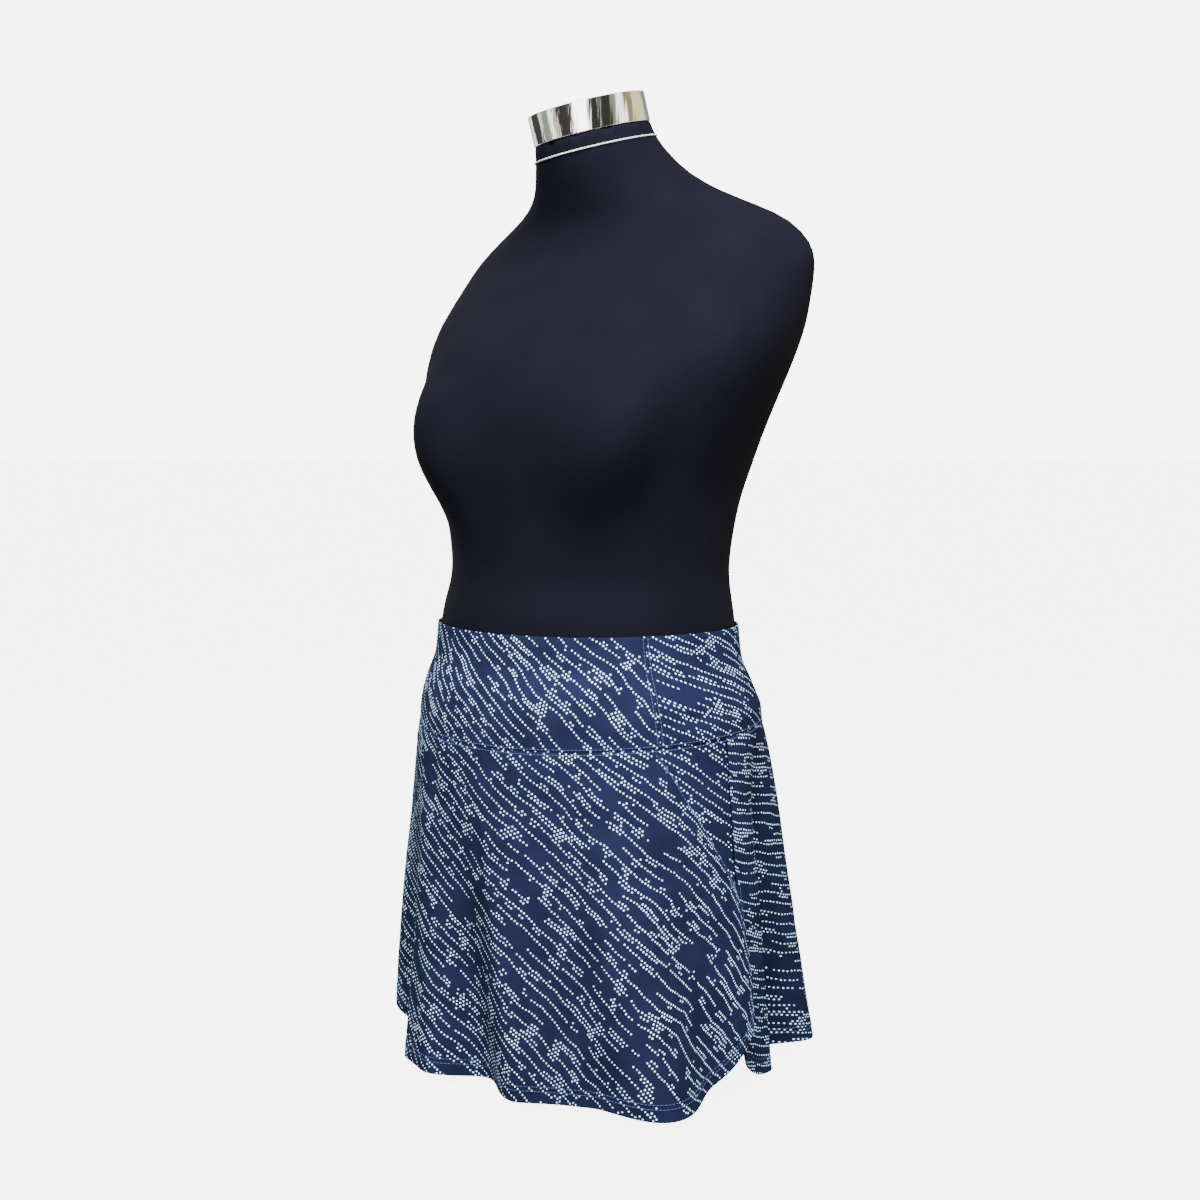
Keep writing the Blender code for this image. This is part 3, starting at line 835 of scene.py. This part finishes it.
def make_sewing():
    front = skirt_surface(FRONT_SLIT_LIFT)
    back = skirt_surface(-BACK_SLIT_TUCK)
    runs = []
    round_body = steps(-180, 180, 900)
    runs.append(run_on(yoke_surface, [(a, yoke_seam_height(a) + SEAM_STITCH) for a in round_body]))
    runs.append(run_on(front, [(a, yoke_seam_height(a) - SEAM_STITCH) for a in round_body]))
    for side in (-1, 1):
        for shift in (-1, 1):
            turn = shift * math.degrees(SEAM_STITCH / YOKE_RADIUS)
            spots = []
            for down in steps(0.01, 0.97, 60):
                angle = side * (yoke_join(down) + turn)
                foot = yoke_seam_height(angle)
                spots.append((angle, blend(waist_height(angle), foot, down)))
            runs.append(run_on(yoke_surface, spots))
        low, high = SLIT_TOP_Z + RUN_END, yoke_seam_height(POCKET_TOP_ANGLE) - RUN_END
        runs.append(edge_run(front, front_edge_angle, low, high, POCKET_STITCH, side))
        low = front_hem(0.97) + RUN_END
        runs.append(edge_run(front, front_edge_angle, low, SLIT_TOP_Z, SLIT_STITCH, side))
        low = back_hem(0.97) + RUN_END
        runs.append(edge_run(back, back_edge_angle, low, SLIT_TOP_Z, -SLIT_STITCH, side))
    for inset in HEM_STITCHES:
        runs.append(sewn_hem(front, front_spot, front_hem, inset))
        runs.append(sewn_hem(back, back_spot, back_hem, inset))
    return stitches("sewing", runs)


def make_bar_tacks():
    """Short bars of close stitches at both ends of each pocket opening."""
    front = skirt_surface(FRONT_SLIT_LIFT)
    runs = []
    for side in (-1, 1):
        for z, length in BAR_TACKS:
            edge = front_edge_angle(z)
            turn = math.degrees(length / 2 / BAR_TACK_RADIUS)
            for k in range(BAR_TACK_STITCHES):
                height = z + BAR_TACK_PITCH * (k - (BAR_TACK_STITCHES - 1) / 2)
                spots = [(side * (edge - turn * share), height) for share in (0.0, 0.5, 1.0)]
                runs.append(run_on(front, spots))
    return stitches("bar_tacks", runs)


def finer_copy(node, name, levels):
    """A smooth copy of a solid, its loose triangles joined into quads and subdivided."""
    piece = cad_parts[node].copy()
    piece.data = piece.data.copy()
    piece.name = name
    piece.data.name = name
    bpy.context.scene.collection.objects.link(piece)
    only(piece)
    bpy.ops.object.mode_set(mode="EDIT")
    bpy.ops.mesh.select_all(action="SELECT")
    bpy.ops.mesh.remove_doubles(threshold=0.00001)
    bpy.ops.mesh.tris_convert_to_quads(face_threshold=1.0, shape_threshold=1.2)
    bpy.ops.object.mode_set(mode="OBJECT")
    finer = piece.modifiers.new("finer", "SUBSURF")
    finer.levels = levels
    finer.render_levels = levels
    bpy.ops.object.modifier_apply(modifier=finer.name)
    bpy.ops.object.shade_smooth()
    return piece


def neck_matrix(place, half_width, half_depth):
    """Turns a round unit shape into an oval one that leans as the neck's top does."""
    across = Vector((1, 0, NECK_TILT)) * half_width
    along = Vector((0, 1, NECK_LEAN)) * half_depth
    upward = Vector((-NECK_TILT, -NECK_LEAN, 1)).normalized()
    return Matrix.Translation(place) @ Matrix(
        (
            (across.x, along.x, upward.x, 0),
            (across.y, along.y, upward.y, 0),
            (across.z, along.z, upward.z, 0),
            (0, 0, 0, 1),
        )
    )


def make_cap():
    """The neck cap: a plated shell with a rolled rim at its foot and a sunk top."""
    bpy.ops.object.select_all(action="DESELECT")
    place = (0, 0, CAP_HEIGHT / 2)
    bpy.ops.mesh.primitive_cylinder_add(vertices=128, radius=1, depth=CAP_HEIGHT, location=place)
    cap = bpy.context.object
    cap.name = "neck_cap"
    bpy.ops.object.transform_apply()
    bpy.ops.object.mode_set(mode="EDIT")
    bpy.ops.mesh.select_mode(type="FACE")
    bpy.ops.mesh.select_all(action="DESELECT")
    bpy.ops.object.mode_set(mode="OBJECT")
    for face in cap.data.polygons:
        face.select = face.normal.z > 0.5
    bpy.ops.object.mode_set(mode="EDIT")
    bpy.ops.mesh.inset(thickness=CAP_LIP)
    bpy.ops.transform.translate(value=(0, 0, -CAP_SINK))
    bpy.ops.mesh.inset(thickness=CAP_STEP)
    bpy.ops.object.mode_set(mode="OBJECT")
    cap.data.transform(neck_matrix(CAP_FOOT, CAP_HALF_WIDTH, CAP_HALF_DEPTH))
    only(cap)
    rim = cap.modifiers.new("rim", "BEVEL")
    rim.limit_method = "ANGLE"
    rim.angle_limit = math.radians(40)
    rim.width = CAP_RIM
    rim.segments = 4
    bpy.ops.object.modifier_apply(modifier=rim.name)
    bpy.ops.object.shade_smooth_by_angle(angle=math.radians(35))
    return cap


def make_piping():
    bpy.ops.object.select_all(action="DESELECT")
    bpy.ops.mesh.primitive_torus_add(
        major_segments=128,
        minor_segments=10,
        major_radius=1.0,
        minor_radius=PIPING_RADIUS / PIPING_HALF_WIDTH,
    )
    piping = bpy.context.object
    piping.name = "neck_cord"
    squash = Matrix.Scale(PIPING_HALF_WIDTH, 4, Vector((0, 0, 1)))
    piping.data.transform(neck_matrix(PIPING_PLACE, PIPING_HALF_WIDTH, PIPING_HALF_DEPTH) @ squash)
    bpy.ops.object.shade_smooth()
    return piping


class Wiring:
    """Adds nodes to a material or a world and joins them."""

    def __init__(self, owner):
        owner.use_nodes = True
        self.owner = owner
        self.tree = owner.node_tree

    def add(self, kind, **settings):
        made = self.tree.nodes.new(kind)
        for key, value in settings.items():
            setattr(made, key, value)
        return made

    def join(self, source, target):
        self.tree.links.new(source, target)

    def feed(self, socket, value):
        if hasattr(value, "is_output"):
            self.join(value, socket)
        else:
            socket.default_value = value

    def maths(self, operation, first, second=0.0, third=0.0):
        made = self.add("ShaderNodeMath", operation=operation)
        for socket, value in zip(made.inputs, (first, second, third)):
            self.feed(socket, value)
        return made.outputs[0]

    def times(self, first, second):
        return self.maths("MULTIPLY", first, second)

    def vector(self, operation, first, second=(0, 0, 0), scale=1.0):
        made = self.add("ShaderNodeVectorMath", operation=operation)
        self.feed(made.inputs[0], first)
        if operation == "SCALE":
            self.feed(made.inputs["Scale"], scale)
        else:
            self.feed(made.inputs[1], second)
        return made.outputs["Value" if operation in ("LENGTH", "DOT_PRODUCT") else "Vector"]

    def split(self, place):
        made = self.add("ShaderNodeSeparateXYZ")
        self.feed(made.inputs[0], place)
        return made.outputs

    def join_up(self, x, y):
        made = self.add("ShaderNodeCombineXYZ")
        self.feed(made.inputs[0], x)
        self.feed(made.inputs[1], y)
        return made.outputs[0]

    def noise(self, place, scale, detail=2.0, roughness=0.5):
        made = self.add("ShaderNodeTexNoise", noise_dimensions="3D")
        self.feed(made.inputs["Vector"], place)
        made.inputs["Scale"].default_value = scale
        made.inputs["Detail"].default_value = detail
        made.inputs["Roughness"].default_value = roughness
        return made

    def ramp(self, value, low, high, to_low=0.0, to_high=1.0, kind="SMOOTHSTEP"):
        made = self.add("ShaderNodeMapRange", interpolation_type=kind)
        for name, number in zip(
            ("Value", "From Min", "From Max", "To Min", "To Max"),
            (value, low, high, to_low, to_high),
        ):
            self.feed(made.inputs[name], number)
        return made.outputs["Result"]

    def mix(self, share, first, second):
        made = self.add("ShaderNodeMix", data_type="RGBA")
        self.feed(made.inputs["Factor"], share)
        self.feed(made.inputs[6], first)
        self.feed(made.inputs[7], second)
        return made.outputs[2]

    def bump(self, height, strength, distance, normal=None):
        made = self.add("ShaderNodeBump")
        made.inputs["Strength"].default_value = strength
        made.inputs["Distance"].default_value = distance
        self.feed(made.inputs["Height"], height)
        if normal is not None:
            self.join(normal, made.inputs["Normal"])
        return made.outputs["Normal"]

    def set(self, **values):
        shader = self.tree.nodes["Principled BSDF"]
        for name, value in values.items():
            self.feed(shader.inputs[name.replace("_", " ")], value)

    def glow(self, colour, strength):
        made = self.add("ShaderNodeBackground")
        self.feed(made.inputs["Color"], colour)
        self.feed(made.inputs["Strength"], strength)
        return made.outputs[0]

    def choose(self, share, first, second):
        made = self.add("ShaderNodeMixShader")
        for socket, value in zip(made.inputs, (share, first, second)):
            self.join(value, socket)
        return made.outputs[0]


def new_wiring(name):
    return Wiring(bpy.data.materials.new(name))


def warped(w, place):
    """The place moved by a slow wander and a quicker wiggle, mostly across the chains."""
    long_way = w.vector("MULTIPLY", place, (1.0, 0.55, 1.0))
    slow = w.noise(long_way, 0.0115, 1.0)
    quick = w.noise(place, 0.036, 1.0)
    bend = w.vector("SUBTRACT", slow.outputs["Color"], (0.5, 0.5, 0.5))
    wiggle = w.vector("SUBTRACT", quick.outputs["Color"], (0.5, 0.5, 0.5))
    wander = w.vector("MULTIPLY", bend, WANDER)
    shiver = w.vector("MULTIPLY", wiggle, SHIVER)
    return w.vector("ADD", w.vector("ADD", place, wander), shiver)


def unwarped_offset(w, place, moved, offset):
    """A small offset at the moved place, as it lies on the flat cloth, so that dots stay round."""
    across = w.split(w.vector("SUBTRACT", warped(w, w.vector("ADD", place, (1.0, 0, 0))), moved))
    down = w.split(w.vector("SUBTRACT", warped(w, w.vector("ADD", place, (0, 1.0, 0))), moved))
    part = w.split(offset)
    spread = w.maths("SUBTRACT", w.times(across[0], down[1]), w.times(across[1], down[0]))
    spread = w.maths("MAXIMUM", spread, 0.2)
    x = w.maths("SUBTRACT", w.times(part[0], down[1]), w.times(part[1], down[0]))
    y = w.maths("SUBTRACT", w.times(part[1], across[0]), w.times(part[0], across[1]))
    return w.vector("SCALE", w.join_up(x, y), scale=w.maths("DIVIDE", 1.0, spread))


def dotted_print(w, place):
    """Chains of small round dots that thicken here and there into clusters: 1 on a dot."""
    moved = warped(w, place)
    cells = w.split(w.vector("DIVIDE", moved, (DOT_PITCH, CHAIN_ROW, 1.0)))
    row = w.maths("FLOOR", cells[1])
    chain = w.maths("FLOOR", w.maths("DIVIDE", w.maths("ADD", row, 1.0), ROWS_TO_A_CHAIN))
    member = w.maths("SUBTRACT", row, w.times(chain, ROWS_TO_A_CHAIN))
    beside = w.maths("ABSOLUTE", member)
    along = w.maths("ADD", cells[0], w.times(w.maths("FLOORED_MODULO", row, 2.0), 0.5))
    column = w.maths("FLOOR", along)
    link = w.join_up(column, chain)
    run = w.noise(w.vector("MULTIPLY", link, (0.100, 3.7, 0.0)), 1.0, 0.0)
    thick = w.noise(w.vector("MULTIPLY", link, (0.230, 4.3, 5.0)), 1.0, 0.0)
    side = w.noise(w.vector("MULTIPLY", link, (0.090, 5.9, 9.0)), 1.0, 0.0)
    lean = w.times(w.times(w.maths("SUBTRACT", side.outputs[0], 0.5), member), 0.9)
    body = w.maths("ADD", w.maths("SUBTRACT", thick.outputs[0], CLUSTER_ABOVE), lean)
    broad = w.maths("GREATER_THAN", body, 0.0)
    single = w.maths("SUBTRACT", 1.0, beside)
    drawn = w.maths("MAXIMUM", broad, single)
    drawn = w.times(drawn, w.maths("GREATER_THAN", run.outputs[0], BREAK_BELOW))
    chance = w.add("ShaderNodeTexWhiteNoise", noise_dimensions="2D")
    w.join(w.join_up(column, row), chance.inputs["Vector"])
    drawn = w.times(drawn, w.maths("GREATER_THAN", chance.outputs["Value"], LOST_DOTS))
    jitter = w.vector("SUBTRACT", chance.outputs["Color"], (0.5, 0.5, 0.5))
    inside = w.join_up(
        w.maths("SUBTRACT", w.maths("FRACT", along), 0.5),
        w.maths("SUBTRACT", w.maths("FRACT", cells[1]), 0.5),
    )
    off = w.vector("MULTIPLY", jitter, (0.16, 0.22, 0.0))
    local = w.vector("MULTIPLY", w.vector("ADD", inside, off), (DOT_PITCH, CHAIN_ROW, 0))
    distance = w.vector("LENGTH", unwarped_offset(w, place, moved, local))
    size = w.maths("MULTIPLY_ADD", chance.outputs["Value"], DOT_SPREAD, DOT_SMALLEST)
    size = w.maths("ADD", size, w.ramp(thick.outputs[0], 0.52, 0.68, 0.0, DOT_IN_CLUSTER))
    edge = w.maths("SUBTRACT", size, distance)
    return w.times(w.ramp(edge, -DOT_EDGE, DOT_EDGE), drawn)


def knit(w, place, pitch):
    """Fine jersey: rows of small loops, as a height."""
    rows = w.add("ShaderNodeTexWave", bands_direction="X")
    rows.inputs["Scale"].default_value = 0.314 / pitch
    rows.inputs["Distortion"].default_value = 0.6
    w.join(place, rows.inputs["Vector"])
    loops = w.add("ShaderNodeTexWave", bands_direction="Y")
    loops.inputs["Scale"].default_value = 0.314 / pitch * 0.8
    loops.inputs["Distortion"].default_value = 0.6
    w.join(place, loops.inputs["Vector"])
    return w.maths("ADD", rows.outputs["Fac"], loops.outputs["Fac"])


def cloth_place(w):
    """The place on the flat cloth in millimetres."""
    uv = w.add("ShaderNodeUVMap", uv_map="cloth")
    return w.vector("MULTIPLY", uv.outputs[0], (1000.0, 1000.0, 0.0))


def printed_knit():
    w = new_wiring("printed knit")
    place = cloth_place(w)
    dots = dotted_print(w, place)
    tone = w.noise(place, 0.03, 3.0)
    navy = w.mix(w.ramp(tone.outputs[0], 0.3, 0.7), NAVY_DEEP, NAVY_LIGHT)
    fleck = w.noise(place, 1.6, 2.0)
    knitted = w.mix(w.ramp(fleck.outputs[0], 0.42, 0.72, 0.0, 0.30), navy, NAVY_FLECK)
    w.set(Base_Color=w.mix(dots, knitted, DOT_WHITE))
    w.set(Roughness=w.ramp(dots, 0.0, 1.0, 0.80, 0.60), Specular_IOR_Level=0.03)
    w.set(Normal=w.bump(knit(w, place, 0.75), 0.35, 0.00012))
    return w.owner


def wrong_side():
    w = new_wiring("wrong side of the knit")
    place = cloth_place(w)
    tone = w.noise(place, 0.05, 3.0)
    w.set(Base_Color=w.mix(tone.outputs[0], WRONG_SIDE_DEEP, WRONG_SIDE_LIGHT))
    w.set(Roughness=0.85, Specular_IOR_Level=0.05)
    w.set(Normal=w.bump(knit(w, place, 0.8), 0.4, 0.00015))
    return w.owner


def object_place(w, scale=1000.0):
    """The place on the object in millimetres."""
    spot = w.add("ShaderNodeTexCoord")
    return w.vector("MULTIPLY", spot.outputs["Object"], (scale, scale, scale))


def twisted(name, scale, colours, roughness, shine, strength, depth):
    """Thread or cord, mottled and grooved by its twist."""
    w = new_wiring(name)
    twist = w.noise(object_place(w), scale, 2.0).outputs[0]
    w.set(Base_Color=w.mix(twist, *colours))
    w.set(Roughness=roughness, Specular_IOR_Level=shine)
    w.set(Normal=w.bump(twist, strength, depth))
    return w.owner


def form_cover():
    """Black jersey with a few pale specks of lint."""
    w = new_wiring("form cover")
    place = object_place(w)
    tone = w.noise(place, 0.02, 3.0)
    base = w.mix(tone.outputs[0], FORM_BLACK, FORM_GREY)
    lint = w.noise(place, 0.55, 4.0, 0.7)
    w.set(Base_Color=w.mix(w.ramp(lint.outputs[0], 0.70, 0.80, 0.0, 0.5), base, LINT))
    w.set(Roughness=0.8, Specular_IOR_Level=0.06)
    weave = w.add("ShaderNodeTexVoronoi", feature="F1")
    weave.inputs["Scale"].default_value = 1.4
    w.join(place, weave.inputs["Vector"])
    w.set(Normal=w.bump(weave.outputs["Distance"], 0.5, 0.00018))
    return w.owner


def plated():
    """Bright plating, a little rippled in upright streaks, with painted reflection: the same streaks
    tint it in warmer, darker bands.
    """
    w = new_wiring("bright plating")
    place = object_place(w)
    reflection_band_and_ripple = w.noise(w.vector("MULTIPLY", place, (1.0, 1.0, 0.06)), 0.22, 2.0)
    fine = w.noise(place, 0.9, 4.0, 0.65)
    # painted reflection: upright bands of warmer, darker tint in the plating's colour
    w.set(Base_Color=w.mix(reflection_band_and_ripple.outputs[0], (0.80, 0.78, 0.70, 1), (0.90, 0.90, 0.88, 1)))
    w.set(Metallic=1.0, Roughness=w.ramp(fine.outputs[0], 0.3, 0.8, 0.05, 0.14))
    w.set(Normal=w.bump(reflection_band_and_ripple.outputs[0], 0.15, 0.002))
    return w.owner


def brushed_steel():
    w = new_wiring("brushed steel")
    place = object_place(w)
    grain = w.noise(w.vector("MULTIPLY", place, (0.2, 4.0, 0.2)), 1.0, 4.0)
    w.set(Base_Color=w.mix(grain.outputs[0], (0.36, 0.36, 0.37, 1), (0.52, 0.52, 0.53, 1)))
    w.set(Metallic=1.0, Roughness=w.ramp(grain.outputs[0], 0.2, 0.8, 0.24, 0.42))
    w.set(Normal=w.bump(grain.outputs[0], 0.15, 0.0001))
    return w.owner


def dress(piece, *materials):
    piece.data.materials.clear()
    for material in materials:
        piece.data.materials.append(material)


def finish_piece(piece, slot, *nodes):
    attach(piece, "root")
    if nodes:
        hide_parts(*nodes)


def build_skirt():
    right_side, inside = printed_knit(), wrong_side()
    front_yoke = make_yoke(
        "yoke_front",
        lambda down: -yoke_join(down) + gap_angle(),
        lambda down: yoke_join(down) - gap_angle(),
        YOKE_FRONT_COLUMNS,
        YOKE_FRONT_GRAIN,
    )
    back_yoke = make_yoke(
        "yoke_back",
        lambda down: yoke_join(down) + gap_angle(),
        lambda down: 360 - yoke_join(down) - gap_angle(),
        YOKE_BACK_COLUMNS,
        YOKE_BACK_GRAIN,
    )
    pieces = (
        (front_yoke, "waistband_front", "stretched", ["form_cover_knit"]),
        (back_yoke, "waistband_back", "stretched", ["form_cover_knit"]),
        (make_skirt_front(), "skirt_front", "hung", ["yoke_front"]),
        (make_skirt_back(), "skirt_back", "hung", ["yoke_back"]),
        (make_pocket_facing(1, "pocket_cloth_left"), "pocket_facing_left", "hung", ["yoke_back"]),
        (make_pocket_facing(-1, "pocket_cloth_right"), "pocket_facing_right", "hung", ["yoke_back"]),
    )
    for piece, node, held, rests_on in pieces:
        dress(piece, right_side, inside)
        finish_piece(piece, "printed_knit", node)
        width, length, area = FLAT_SIZES[piece.name]
        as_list(rests_on)
    thread = twisted("sewing thread", 2.5, (THREAD_DEEP, THREAD_LIGHT), 0.6, 0.10, 0.4, 0.0001)
    for sewn in (make_sewing(), make_bar_tacks()):
        dress(sewn, thread)
        finish_piece(sewn, "printed_knit")


def build_form():
    torso = finer_copy("form_torso", "form_cover_knit", 1)
    dress(torso, form_cover())
    finish_piece(torso, "form_cover", "form_torso")
    cap = make_cap()
    dress(cap, plated())
    finish_piece(cap, "plated_cap", "form_neck_cap")
    piping = make_piping()
    dress(piping, twisted("piping cord", 1.8, (CORD_DEEP, CORD_LIGHT), 0.7, 0.5, 0.5, 0.0002))
    finish_piece(piping, "piping", "form_neck_piping")
    steel = brushed_steel()
    for node in ("stand_pole", "stand_base"):
        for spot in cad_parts[node].material_slots:
            spot.material = steel


def build_studio():
    """A wide pale floor, a pale surround and soft light."""
    bpy.ops.object.select_all(action="DESELECT")
    bpy.ops.mesh.primitive_plane_add(size=200, location=(0, 0, 0))
    floor = bpy.context.object
    floor.name = "studio_floor"
    w = new_wiring("pale floor")
    grain = w.noise(object_place(w, 1.0), 3.0, 2.0)
    w.set(Base_Color=w.mix(grain.outputs[0], (0.10, 0.10, 0.10, 1), (0.12, 0.12, 0.12, 1)))
    w.set(Roughness=1.0, Specular_IOR_Level=0.0)
    w.set(Emission_Color=(1.0, 1.0, 1.0, 1.0), Emission_Strength=FLOOR_GLOW)
    dress(floor, w.owner)
    floor.visible_diffuse = False
    floor.visible_glossy = False
    soft_surround()
    for name, turn, height, distance, size, power in SOFT_LIGHTS:
        light = bpy.data.lights.new(name, "AREA")
        light.shape = "SQUARE"
        light.size = size
        light.energy = power
        light.color = AMBIENT_TINT[:3]
        lamp = placed(name, light)
        spot = on_circle(turn, distance, height)
        lamp.location = spot
        aim = Vector((0.0, 0.0, 0.45)) - spot
        lamp.rotation_euler = aim.to_track_quat("-Z", "Y").to_euler()
        lamp.visible_camera = False
        lamp.visible_glossy = False


def mirrored_boxes(w, parts):
    """The soft boxes and dark flags round the object, by the direction's angle from the front."""
    turn = w.maths("ARCTAN2", parts["X"], w.times(parts["Y"], -1.0))
    share = w.ramp(turn, -math.pi, math.pi, kind="LINEAR")
    boxes = w.add("ShaderNodeValToRGB")
    w.join(share, boxes.inputs["Fac"])
    stops = boxes.color_ramp.elements
    for stop, (angle, colour) in zip((stops[0], stops[1]), (SOFT_BOXES[0], SOFT_BOXES[-1])):
        stop.position = (angle + 180) / 360
        stop.color = (*colour, 1.0)
    for angle, colour in SOFT_BOXES[1:-1]:
        stop = stops.new((angle + 180) / 360)
        stop.color = (*colour, 1.0)
    lit = boxes.outputs["Color"]
    for low, high, colour in ((0.70, 0.86, OVERHEAD), (-0.45, -0.62, UNDERFOOT)):
        lit = w.mix(w.ramp(parts["Z"], low, high), lit, (*colour, 1.0))
    return lit


def soft_surround():
    """The pale backdrop, and round it the soft boxes and dark flags that the plating mirrors."""
    world = bpy.data.worlds.new("soft studio")
    w = Wiring(world)
    bpy.context.scene.world = world
    direction = w.add("ShaderNodeTexCoord").outputs["Generated"]
    boxes = w.tree.nodes["Background"]
    w.join(mirrored_boxes(w, w.split(direction)), boxes.inputs["Color"])
    towards = w.vector("DOT_PRODUCT", direction, AMBIENT_FROM)
    fall = w.ramp(towards, -1.0, 1.0, AMBIENT_LOW, AMBIENT_HIGH, kind="LINEAR")
    seen = w.add("ShaderNodeLightPath").outputs
    soft = w.choose(seen["Is Diffuse Ray"], boxes.outputs[0], w.glow(AMBIENT_TINT, fall))
    backdrop = w.glow((1.0, 1.0, 1.0, 1.0), BACKDROP)
    lit = w.choose(seen["Is Camera Ray"], soft, backdrop)
    w.join(lit, w.tree.nodes["World Output"].inputs["Surface"])


def place_camera():
    lens = bpy.data.cameras.new("photo camera")
    lens.lens = CAMERA_LENS
    lens.sensor_width = 36.0
    lens.clip_start = 0.05
    lens.clip_end = 100.0
    camera = placed("photo camera", lens)
    right = Vector((math.cos(CAMERA_TURN), math.sin(CAMERA_TURN), 0))
    ahead = Vector((-math.sin(CAMERA_TURN), math.cos(CAMERA_TURN), 0))
    place = -ahead * CAMERA_DISTANCE + right * CAMERA_SIDESTEP
    camera.location = (place.x, place.y, CAMERA_HEIGHT)
    aim = ahead * math.cos(CAMERA_DIP) - Vector((0, 0, math.sin(CAMERA_DIP)))
    camera.rotation_euler = aim.to_track_quat("-Z", "Y").to_euler()
    bpy.context.scene.camera = camera


build_form()
build_skirt()
build_studio()
place_camera()
bpy.context.view_layer.update()
